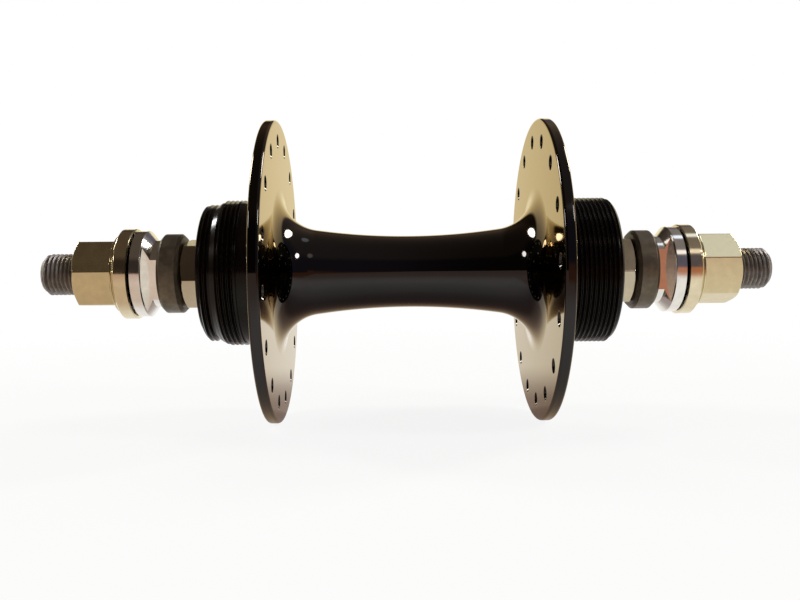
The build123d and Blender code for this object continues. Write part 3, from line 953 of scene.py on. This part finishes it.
def add_flange(skin, sizes, angles, side):
    """One flange: its rim, its two faces and its countersunk spoke holes."""
    inner_face, outer_face = flange_stations(sizes)
    ring_inner, ring_outer = drilled_ring(sizes)
    rim = sizes.flange_diameter / 2
    edge = sizes.flange_edge_round
    ease = sizes.hole_ease
    wide = sizes.countersink / 2
    hole = sizes.spoke_hole / 2
    sink = wide - hole
    skin.grid(angles, outline(
        len(angles),
        (ring_outer, side * outer_face),
        (rim, side * outer_face, edge, EDGE_ARC),
        (rim, side * inner_face, edge, EDGE_ARC),
        (ring_outer, side * inner_face),
        closed=False,
    ))
    drilled = outline(
        HOLE_COLUMNS + 1,
        (wide + ease, outer_face),
        (wide, outer_face, ease),
        (hole, outer_face - sink, ease),
        (hole, inner_face + sink, ease),
        (wide, inner_face, ease),
        (wide + ease, inner_face),
        closed=False,
    )
    holes = spoke_places(sizes, side)
    for place in holes:
        skin.grid(even_angles(HOLE_COLUMNS), drilled, side, centre=place)
    for face in (inner_face, outer_face):
        flange_face(skin, side * face, ring_inner, ring_outer, holes, wide + ease)


def build_shell(sizes, material):
    """The shell: its threaded ends, its bore, the barrel and the two flanges."""
    skin = Skin()
    angles = even_angles(SHELL_COLUMNS)
    columns = len(angles)
    shell_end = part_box("hub_shell")[1].y
    skin.grid(angles, np.concatenate([
        freewheel_end_rows(sizes, angles, shell_end),
        bore_rows(sizes, columns, shell_end),
        cog_end_rows(sizes, angles, shell_end),
    ]))
    skin.grid(angles, barrel_rows(sizes, columns))
    for side in OUTWARD.values():
        add_flange(skin, sizes, angles, side)
    return skin.piece("shell", material, "black_anodised", "hub", "hub_shell")


def build_axle(sizes, material):
    """The axle, threaded from each end up to its plain middle."""
    skin = Skin()
    angles = even_angles(AXLE_COLUMNS)
    columns = len(angles)
    crest = outer_radius("axle")
    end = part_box("axle")[1].y
    plain = sizes.plain_length / 2
    chamfer = sizes.end_chamfer

    def envelope(station):
        return crest - np.clip(np.abs(station) - (end - chamfer), 0.0, chamfer)

    pitch = sizes.thread_pitch
    left = thread_rows(sizes, angles, -end, -plain, RIGHT_HAND, envelope, fade_out=pitch)
    right = thread_rows(sizes, angles, plain, end, RIGHT_HAND, envelope, fade_in=pitch)
    inside = crest - chamfer - sizes.tip_margin
    tip = outline(columns, (0.0, end), (inside, end), closed=False)
    foot = outline(columns, (inside, -end), (0.0, -end), closed=False)
    skin.grid(angles, np.concatenate([tip, right[::-1], left[::-1], foot]))
    return skin.piece("axle_bar", material, "axle_steel", "axle_set", "axle")


def build_bearing_nut(sizes, side_name, turn, material):
    """Hexagonal nut with a slim collar, seen at the mouth of the shell."""
    node, side, start, end = on_side(side_name, "bearing_nut")
    angles, radii = hexagon(sizes.bearing_nut_flats, turn, sizes.corner_round)
    collar = sizes.bearing_nut_collar / 2
    body_start = start + sizes.bearing_nut_collar_length
    face = sizes.bearing_nut_face / 2
    ease = sizes.edge_ease
    slope = math.tan(sizes.hex_chamfer)
    bore = sizes.nut_bore / 2
    mouth = sizes.nut_mouth
    skin = turned_ring(
        side,
        angles,
        (bore, start),
        (collar, start, ease),
        (collar, body_start, ease),
        (face, body_start, ease),
        (radii, body_start + (radii - face) * slope, ease),
        (radii, end - (radii - face) * slope, ease),
        (face, end, ease),
        (bore + mouth, end),
        (bore, end - mouth),
    )
    return skin.piece(f"{node}_plated", material, "bright_plate", "axle_set", node)


def build_spacer(sizes, side_name, material):
    """Round black spacer, chamfered on both edges."""
    node, side, start, end = on_side(side_name, "spacer_nut")
    edge = outer_radius(node)
    chamfer = sizes.spacer_chamfer
    ease = sizes.edge_ease
    bore = sizes.nut_bore / 2
    mouth = sizes.nut_mouth
    skin = turned_ring(
        side,
        even_angles(RING_COLUMNS),
        (bore + mouth, start),
        (edge - chamfer, start, ease),
        (edge, start + chamfer, ease),
        (edge, end - chamfer, ease),
        (edge - chamfer, end, ease),
        (bore + mouth, end),
        (bore, end - mouth),
        (bore, start + mouth),
    )
    return skin.piece(f"{node}_blacked", material, "black_oxide", "axle_set", node)


def serrated_columns(sizes):
    """How the columns of a serrated face lie: the groove's middle and the place across it, for each."""
    share = np.linspace(-1.0, 1.0, GROOVE_COLUMNS + 1)[:-1]
    middles = FULL_TURN / sizes.serration_count * np.arange(sizes.serration_count)
    middle = np.append(np.repeat(middles, GROOVE_COLUMNS), middles[0] + FULL_TURN)
    across = np.append(np.tile(share, sizes.serration_count), share[0])
    return middle, across


def groove_angles(sizes, radius, middle, across):
    """Angles of the columns where a row crosses the radial grooves at this radius."""
    half_pitch = math.pi / sizes.serration_count
    widest = math.sin(half_pitch) * GROOVE_SHARE
    groove = np.arcsin(np.minimum(sizes.serration_width / 2 / radius, widest))
    inside = np.abs(across) <= 0.5
    beyond = groove + (np.abs(across) - 0.5) * 2 * (half_pitch - groove)
    offset = np.where(inside, 2 * across * groove, np.sign(across) * beyond)
    return middle + offset


def groove_depths(sizes, radius, middle, angles):
    """Depth of the radial grooves at each column of a row at this radius."""
    off = np.abs(radius * np.sin(angles - middle))
    return sizes.serration_depth * np.clip(1 - off / (sizes.serration_width / 2), 0.0, 1.0)


def serrated(sizes, rows, face, inward, reach):
    """Cut radial grooves out to a radius into the rows at and near a face. Returns all points' angles."""
    middle, across = serrated_columns(sizes)
    angles = np.empty(rows.shape[:2])
    for index, row in enumerate(rows):
        radius = float(row[:, 0].max())
        angles[index] = groove_angles(sizes, radius, middle, across)
        if radius < reach - MERGE_DISTANCE:
            depth = groove_depths(sizes, radius, middle, angles[index])
            row[:, 1] = face + inward * np.maximum(depth, inward * (row[:, 1] - face))
    return angles


def flatted_columns(sizes, turn, round_radius):
    """A way to lay the columns of a locknut so that one follows each edge of its two wrench flats."""
    quarter = math.pi / 2
    flat = sizes.locknut_flats / 2
    outer_edge = math.acos(flat / round_radius)
    columns = groove_angles(sizes, round_radius, *serrated_columns(sizes))
    for edge_angle in (-outer_edge, outer_edge, math.pi - outer_edge, math.pi + outer_edge):
        gap = (columns - turn - edge_angle + math.pi) % FULL_TURN - math.pi
        nearest = int(np.argmin(np.abs(gap[:-1])))
        columns[nearest] -= gap[nearest]
    columns[-1] = columns[0] + FULL_TURN
    from_flat = (columns - turn + quarter) % math.pi - quarter
    flat_middles = columns - from_flat

    def at_radius(radius):
        """Angles and radii of the columns where the round part has this radius."""
        edge = math.acos(flat / radius)
        spread = np.interp(np.abs(from_flat), [0.0, outer_edge, quarter], [0.0, edge, quarter])
        radii = np.minimum(radius, flat / np.maximum(np.cos(spread), TINY))
        return flat_middles + np.sign(from_flat) * spread, radii

    return at_radius


def build_locknut(sizes, side_name, turn, material):
    """Locknut: round barrel and cone with two wrench flats, and a serrated flange."""
    node, side, start, end = on_side(side_name, "locknut")
    flange = outer_radius(node)
    barrel = sizes.locknut_barrel / 2
    ease = sizes.edge_ease
    chamfer = sizes.rim_chamfer
    reach = flange - sizes.serration_rim
    bore = sizes.nut_bore / 2
    mouth = sizes.locknut_mouth
    cone_start = start + sizes.locknut_barrel_length
    flange_start = cone_start + sizes.locknut_cone
    wall_station = start + sizes.locknut_flat_length
    wall_share = (wall_station - cone_start) / sizes.locknut_cone
    wall_radius = barrel + wall_share * (flange - barrel)
    at_radius = flatted_columns(sizes, turn, wall_radius)
    barrel_angles, barrel_radii = at_radius(barrel)
    body = outline(
        len(barrel_angles),
        (bore, start + ease),
        (bore + ease, start),
        (np.minimum(barrel_radii, barrel - chamfer), start, ease),
        (barrel_radii, start + chamfer, ease),
        (barrel_radii, cone_start),
        closed=False,
    )
    rows = [*body]
    angles = [barrel_angles] * len(body)
    for share in np.linspace(0.0, 1.0, CONE_STEPS + 1)[1:]:
        cone_angles, cone_radii = at_radius(barrel + share * (wall_radius - barrel))
        station = np.full_like(cone_radii, cone_start + share * (wall_station - cone_start))
        rows.append(np.stack([cone_radii, station], axis=-1))
        angles.append(cone_angles)
    rim = outline(
        len(barrel_angles),
        (wall_radius, wall_station),
        (flange, flange_start, ease),
        (flange, end - chamfer),
        (flange - chamfer, end),
        (reach, end),
        (reach - GROOVE_WALL, end),
        (bore + mouth, end),
        (bore, end - mouth),
        closed=False,
    )
    rim_angles = serrated(sizes, rim, end, -1, reach)
    rim_angles[0] = angles[-1]
    angles[0] = rim_angles[-1]
    skin = Skin()
    skin.grid(np.array([*angles, *rim_angles]), np.array([*rows, *rim]), side, closed=True)
    return skin.piece(f"{node}_plated", material, "bright_plate", "axle_set", node)


def build_washer(sizes, side_name, material):
    """Captive washer with a serrated inner face and a coned edge."""
    node, side, start, end = on_side(side_name, "captive_washer")
    edge = outer_radius(node)
    ease = sizes.edge_ease
    chamfer = sizes.rim_chamfer
    reach = edge - sizes.serration_rim
    recess = sizes.washer_recess / 2
    bore = sizes.washer_bore / 2
    mouth = sizes.washer_mouth
    floor_station = start + sizes.washer_recess_depth
    rows = outline(
        GROOVE_COLUMNS * sizes.serration_count + 1,
        (recess, start),
        (reach - GROOVE_WALL, start),
        (reach, start),
        (edge - chamfer, start),
        (edge, start + chamfer),
        (edge, end - sizes.washer_chamfer, ease),
        (sizes.washer_face / 2, end, ease),
        (bore + mouth, end),
        (bore, end - mouth),
        (bore, floor_station),
        (recess, floor_station),
    )
    angles = serrated(sizes, rows, start, 1, reach)
    skin = Skin()
    skin.grid(angles, rows, side, closed=True)
    return skin.piece(f"{node}_plated", material, "bright_plate", f"{side_name}_washer", node)


def build_track_nut(sizes, side_name, turn, material):
    """Track nut: chamfered hexagon on a flared base, and the collar and lip inside the washer."""
    node, side, start, end = on_side(side_name, "track_nut")
    angles, radii = hexagon(sizes.track_nut_flats, turn, sizes.corner_round)
    ease = sizes.edge_ease
    crisp = sizes.crisp_ease
    bore = sizes.nut_bore / 2
    mouth = sizes.track_nut_mouth
    base = sizes.track_nut_base / 2
    collar = sizes.nut_collar / 2
    lip = sizes.nut_lip / 2
    base_start = sizes.track_nut_base_start
    flare_start = base_start + sizes.track_nut_base_width
    flare_top = sizes.track_nut_flats / 2 - sizes.flare_inset
    crown = sizes.track_nut_crown / 2
    slope = math.tan(sizes.hex_chamfer)
    steepness = sizes.flare_steepness
    reach = 1 - ((radii - flare_top) / (base - flare_top)) ** (1 / steepness)
    flare = []
    for share in np.linspace(0.0, 1.0, FLARE_STEPS + 1)[1:]:
        along = share * reach
        radius = flare_top + (base - flare_top) * (1 - along) ** steepness
        flare.append((radius, flare_start + along * sizes.track_nut_neck))
    skin = turned_ring(
        side,
        angles,
        (bore, start),
        (lip, start, ease),
        (lip, start + sizes.nut_lip_width, ease),
        (collar, start + sizes.nut_lip_width),
        (collar, base_start),
        (base, base_start, crisp),
        (base, flare_start, crisp),
        *flare,
        (radii, end - (radii - crown) * slope, ease),
        (crown, end, ease),
        (bore + mouth, end, crisp),
        (bore, end - mouth),
    )
    return skin.piece(f"{node}_plated", material, "bright_plate", f"{side_name}_nut", node)


def build_seal(sizes, side_name, material):
    """Outer seal of a bearing: a rubber ring with a raised bead at its rim and a thin lip."""
    node, side, start, end = on_side(side_name, "outer_seal")
    rim = outer_radius(node)
    bore = sizes.bore / 2
    low = end - sizes.dish
    bead_outer = rim - sizes.rim_width
    bead_inner = bead_outer - sizes.bead_width
    lip_foot = bore + sizes.lip_width
    lip_outer = lip_foot - sizes.lip_flank
    lip_inner = lip_outer - sizes.lip_crest
    lip_top = end - sizes.lip_drop
    foot = sizes.foot_round
    edge = sizes.edge_round
    skin = turned_ring(
        side,
        even_angles(RING_COLUMNS),
        (bore, start),
        (rim, start),
        (rim, low, edge),
        (bead_outer, end, sizes.bead_round, BEAD_ARC),
        (bead_inner, end, sizes.bead_round, BEAD_ARC),
        (bead_inner - sizes.bead_flank, low, foot),
        (lip_foot, low, foot),
        (lip_outer, lip_top, sizes.lip_round, BEAD_ARC),
        (lip_inner, lip_top, sizes.lip_round, BEAD_ARC),
        (bore, end - sizes.lip_bevel, edge),
    )
    return skin.piece(f"{node}_moulded", material, "seal_rubber", "hub", node)


# Stage

# Two windows that the metal reflects: direction, radii in degrees where it fades out, and colour
WINDOWS = (
    ((0.658, 0.32, 0.68), 4.5, 7.0, (1.2, 1.1, 1.05)),
    ((-0.1, 0.37, 0.92), 4.0, 8.0, (1.1, 1.2, 1.4)),
)
# Soft lamps: name, direction from the hub, diameter in metres, and power in watts
LAMPS = (
    ("front_right", (0.408, 0.749, 0.522), 0.28, 6.0),
    ("back_right", (-0.411, 0.685, 0.602), 0.42, 11.0),
    ("front_left", (0.345, -0.814, 0.468), 0.28, 4.0),
    ("back_left", (-0.384, -0.736, 0.557), 0.42, 11.0),
)
# Where the tones of the room begin and where they are full, as heights in degrees over the horizon
OVERHEAD_HEIGHT = (30.0, 45.0)
WALL_HEIGHT = (25.0, 20.5)
TABLE_EDGE_HEIGHT = (7.0, 2.0)
# The same across the room, as parts of a direction's length along X or Y
WALL_BEHIND = (0.35, 0.0)
RIGHT_HALF = (-0.15, 0.15)
TABLE_EDGE_START = (0.12, 0.25)
TABLE_EDGE_END = (0.5, 0.4)
# The same on the floor, in metres from the hub's middle
SHADOW_RADIUS = (0.4, 0.06)
FRONT_X = (0.05, 0.16)
LEFT_X = (-0.01, 0.02)
LEFT_Y = (-0.03, -0.07)
TABLE_Y = (0.06, 0.10)
# Where the floor's painted shade under the hub lies, seen only in reflections
SHADE_BACK_X = (-0.12, -0.02)
SHADE_FRONT_X = (0.055, -0.01)
SHADE_Y = (0.056, 0.034)
# How much of the lit floor shows under the hub, to the camera and in reflections
SHADOW_SEEN = 0.12
SHADOW_MIRRORED = 0.3

SENSOR_WIDTH = 36.0
NEAR_CLIP = 0.01
FLOOR_SEGMENTS = 64


def soft_lamp(name, towards, size, power, distance):
    """A round soft lamp in one direction from the hub, turned towards it."""
    light = bpy.data.lights.new(name, "AREA")
    light.shape = "DISK"
    light.size = size
    light.energy = power
    lamp = bpy.data.objects.new(name, light)
    bpy.context.scene.collection.objects.link(lamp)
    lamp.location = Vector(towards).normalized() * distance
    lamp.rotation_euler = (-lamp.location).to_track_quat("-Z", "Y").to_euler()


def sines(heights):
    """Heights on the unit sphere of directions this many degrees above the horizon."""
    return [math.sin(math.radians(height)) for height in heights]


def light_world(settings):
    """White for the camera. Metal reflects a white wall at the back, a dim room and two windows."""
    world = bpy.data.worlds.new("room")
    bpy.context.scene.world = world
    world.use_nodes = True
    finish = Finish(world.node_tree)
    towards = finish.node("ShaderNodeTexCoord", {}, "Generated")
    forward, sideways, height = finish.parts(towards)
    right = sideways.over(*RIGHT_HALF)
    low = finish.mixed(right, solid(settings.front_left), solid(settings.front))
    across = sideways.over(*TABLE_EDGE_START) * sideways.over(*TABLE_EDGE_END)
    table_edge = across * height.over(*sines(TABLE_EDGE_HEIGHT))
    low = finish.mixed(table_edge, low, solid(settings.clay))
    high = finish.mixed(right, solid(settings.overhead_left), solid(settings.overhead))
    room = finish.mixed(height.over(*sines(OVERHEAD_HEIGHT)), low, high)
    wall = forward.over(*WALL_BEHIND) * height.over(*sines(WALL_HEIGHT))
    tone = finish.mixed(wall, room, solid(settings.wall))
    for direction_of, full, faded, glow in WINDOWS:
        inputs = {0: towards, 1: Vector(direction_of).normalized()}
        nearness = finish.node("ShaderNodeVectorMath", inputs, "Value", operation="DOT_PRODUCT")
        window = nearness.over(math.cos(math.radians(faded)), math.cos(math.radians(full)))
        tone = finish.mixed(window, tone, solid(glow))
    seen = finish.node("ShaderNodeLightPath", {}, "Is Camera Ray")
    tone = finish.mixed(seen, tone, solid(settings.background))
    light = finish.node("ShaderNodeBackground", {"Color": tone, "Strength": 1.0})
    output = finish.tree.nodes.new("ShaderNodeOutputWorld")
    finish.tree.links.new(light.socket, output.inputs["Surface"])


def floor_finish(settings):
    """A pale floor that keeps the hub's shadow near it and turns into the white background further off. In
    reflections it shows given tones, and painted shade close under the hub.
    """
    material, finish = new_finish("pale_floor")
    x, y, _ = finish.place()
    near = (x * x + y * y).root().over(*SHADOW_RADIUS)
    camera, glossy, through = [
        finish.node("ShaderNodeLightPath", {}, name)
        for name in ("Is Camera Ray", "Is Glossy Ray", "Is Transmission Ray")
    ]
    mirrored = glossy + through
    share = camera * (1.0 - SHADOW_SEEN * near) + mirrored * (1.0 - SHADOW_MIRRORED * near)
    left = mirrored * x.over(*LEFT_X) * y.over(*LEFT_Y)
    front = mirrored * x.over(*FRONT_X)
    # Painted shade: in reflections the floor close under the hub takes the dark shade colour
    shade_start, shade_full = SHADE_Y
    shade = mirrored * (y * y).over(shade_start**2, shade_full**2)
    shade = shade * x.over(*SHADE_BACK_X) * x.over(*SHADE_FRONT_X)
    table = finish.mixed(y.over(*TABLE_Y), solid(settings.front_floor), solid(settings.clay))
    tone = finish.mixed(left, solid(settings.background), solid(settings.left_floor))
    tone = finish.mixed(front, tone, table)
    tone = finish.mixed(shade, tone, solid(settings.shade))
    matt = finish.node("ShaderNodeBsdfDiffuse", {"Color": solid(settings.floor)})
    white = finish.node("ShaderNodeEmission", {"Color": tone, "Strength": 1.0})
    finish.node_output(finish.node("ShaderNodeMixShader", {0: share, 1: matt, 2: white}))
    return material


def build_floor(settings):
    """A round floor under the rims of the flanges."""
    mesh = bpy.data.meshes.new("floor")
    work = bmesh.new()
    bmesh.ops.create_circle(work, cap_ends=True, segments=FLOOR_SEGMENTS, radius=settings.floor_radius)
    work.to_mesh(mesh)
    work.free()
    mesh.materials.append(floor_finish(settings))
    floor = bpy.data.objects.new("floor", mesh)
    bpy.context.scene.collection.objects.link(floor)
    floor.location.z = cad_box[0].z


def place_camera(settings):
    """The camera where the photo was taken from."""
    data = bpy.data.cameras.new("camera")
    data.lens = settings.focal_length
    data.sensor_width = SENSOR_WIDTH
    data.clip_start = NEAR_CLIP
    camera = bpy.data.objects.new("camera", data)
    bpy.context.scene.collection.objects.link(camera)
    quarter = math.pi / 2
    facing = Euler((quarter - settings.camera_tilt, 0.0, quarter - settings.camera_pan)).to_matrix()
    turned = facing @ Matrix.Rotation(settings.camera_roll, 3, "Z")
    place = Matrix.Translation((settings.camera_distance, -settings.camera_shift, 0.0))
    camera.matrix_world = place @ turned.to_4x4()
    bpy.context.scene.camera = camera


# Operators


class HUB_OT_shell(bpy.types.Operator):
    """Build the shell with its threads and drilled flanges"""

    bl_idname = "rear_hub.shell"
    bl_label = "Shell"

    def execute(self, context):
        build_shell(context.scene.hub_shell, anodised_finish(context.scene.hub_colours))
        return {"FINISHED"}


class HUB_OT_axle(bpy.types.Operator):
    """Build the threaded axle and dress the spacer tube on it"""

    bl_idname = "rear_hub.axle"
    bl_label = "Axle"

    def execute(self, context):
        material = axle_finish(context.scene.hub_colours, outer_radius("axle"))
        build_axle(context.scene.hub_hardware, material)
        dress(nodes["spacer_tube"], material)
        return {"FINISHED"}


class HUB_OT_bearings(bpy.types.Operator):
    """Dress the bearings and build their outer seals"""

    bl_idname = "rear_hub.bearings"
    bl_label = "Bearings"

    def execute(self, context):
        colours = context.scene.hub_colours
        steel = bearing_finish(colours)
        rubber = rubber_finish(colours)
        nylon = nylon_finish(colours)
        for side_name in OUTWARD:
            for piece in ("outer_race", "inner_race", "bearing_balls"):
                dress(nodes[f"{side_name}_{piece}"], steel)
            dress(nodes[f"{side_name}_ball_cage"], nylon)
            dress(nodes[f"{side_name}_inner_seal"], rubber)
            build_seal(context.scene.hub_seals, side_name, rubber)
        return {"FINISHED"}


class HUB_OT_nuts(bpy.types.Operator):
    """Build the bearing nuts, spacers and locknuts that are tightened on the axle"""

    bl_idname = "rear_hub.nuts"
    bl_label = "Nuts inside the frame"

    def execute(self, context):
        sizes = context.scene.hub_hardware
        turns = context.scene.hub_turns
        colours = context.scene.hub_colours
        inner_plate = plate_finish("bearing_nut_plate", colours.bearing_nut)
        plate = plate_finish("bright_plate", colours.bright)
        oxide = oxide_finish(colours)
        for side_name in OUTWARD:
            build_bearing_nut(sizes, side_name, getattr(turns, f"{side_name}_bearing_nut"), inner_plate)
            build_spacer(sizes, side_name, oxide)
            build_locknut(sizes, side_name, getattr(turns, f"{side_name}_locknut"), plate)
        return {"FINISHED"}


class HUB_OT_track_nuts(bpy.types.Operator):
    """Build the track nuts and the captive washers that they carry"""

    bl_idname = "rear_hub.track_nuts"
    bl_label = "Track nuts and washers"

    def execute(self, context):
        sizes = context.scene.hub_hardware
        turns = context.scene.hub_turns
        plate = plate_finish("washer_plate", context.scene.hub_colours.washer)
        nickel = nickel_finish(context.scene.hub_colours)
        for side_name in OUTWARD:
            build_washer(sizes, side_name, plate)
            build_track_nut(sizes, side_name, getattr(turns, f"{side_name}_track_nut"), nickel)
        return {"FINISHED"}


class HUB_OT_stage(bpy.types.Operator):
    """Set up the floor, the lamps, the room and the camera"""

    bl_idname = "rear_hub.stage"
    bl_label = "Stage"

    def execute(self, context):
        settings = context.scene.hub_stage
        context.scene.view_settings.view_transform = "Standard"
        light_world(settings)
        build_floor(settings)
        place_camera(settings)
        for lamp in LAMPS:
            soft_lamp(*lamp, settings.lamp_distance)
        return {"FINISHED"}


class HUB_PT_sidebar(bpy.types.Panel):
    """Lists the steps that build the hub"""

    bl_idname = "HUB_PT_sidebar"
    bl_label = "Rear hub"
    bl_space_type = "VIEW_3D"
    bl_region_type = "UI"
    bl_category = "Rear hub"

    def draw(self, context):
        for operator in OPERATORS:
            self.layout.operator(operator.bl_idname)


GROUPS = {
    "hub_shell": ShellSizes,
    "hub_hardware": HardwareSizes,
    "hub_seals": SealSizes,
    "hub_turns": NutTurns,
    "hub_colours": FinishColours,
    "hub_stage": StageSettings,
}
OPERATORS = (
    HUB_OT_shell,
    HUB_OT_axle,
    HUB_OT_bearings,
    HUB_OT_nuts,
    HUB_OT_track_nuts,
    HUB_OT_stage,
)


def register():
    """Register the settings, the operators and the panel."""
    for name, group in GROUPS.items():
        bpy.utils.register_class(group)
        setattr(bpy.types.Scene, name, PointerProperty(type=group))
    for operator in OPERATORS:
        bpy.utils.register_class(operator)
    bpy.utils.register_class(HUB_PT_sidebar)


def unregister():
    """Undo register."""
    bpy.utils.unregister_class(HUB_PT_sidebar)
    for operator in reversed(OPERATORS):
        bpy.utils.unregister_class(operator)
    for name, group in GROUPS.items():
        delattr(bpy.types.Scene, name)
        bpy.utils.unregister_class(group)


def main():
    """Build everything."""
    register()
    bpy.ops.rear_hub.shell()
    bpy.ops.rear_hub.axle()
    bpy.ops.rear_hub.bearings()
    bpy.ops.rear_hub.nuts()
    bpy.ops.rear_hub.track_nuts()
    bpy.ops.rear_hub.stage()


if __name__ == "__main__":
    main()
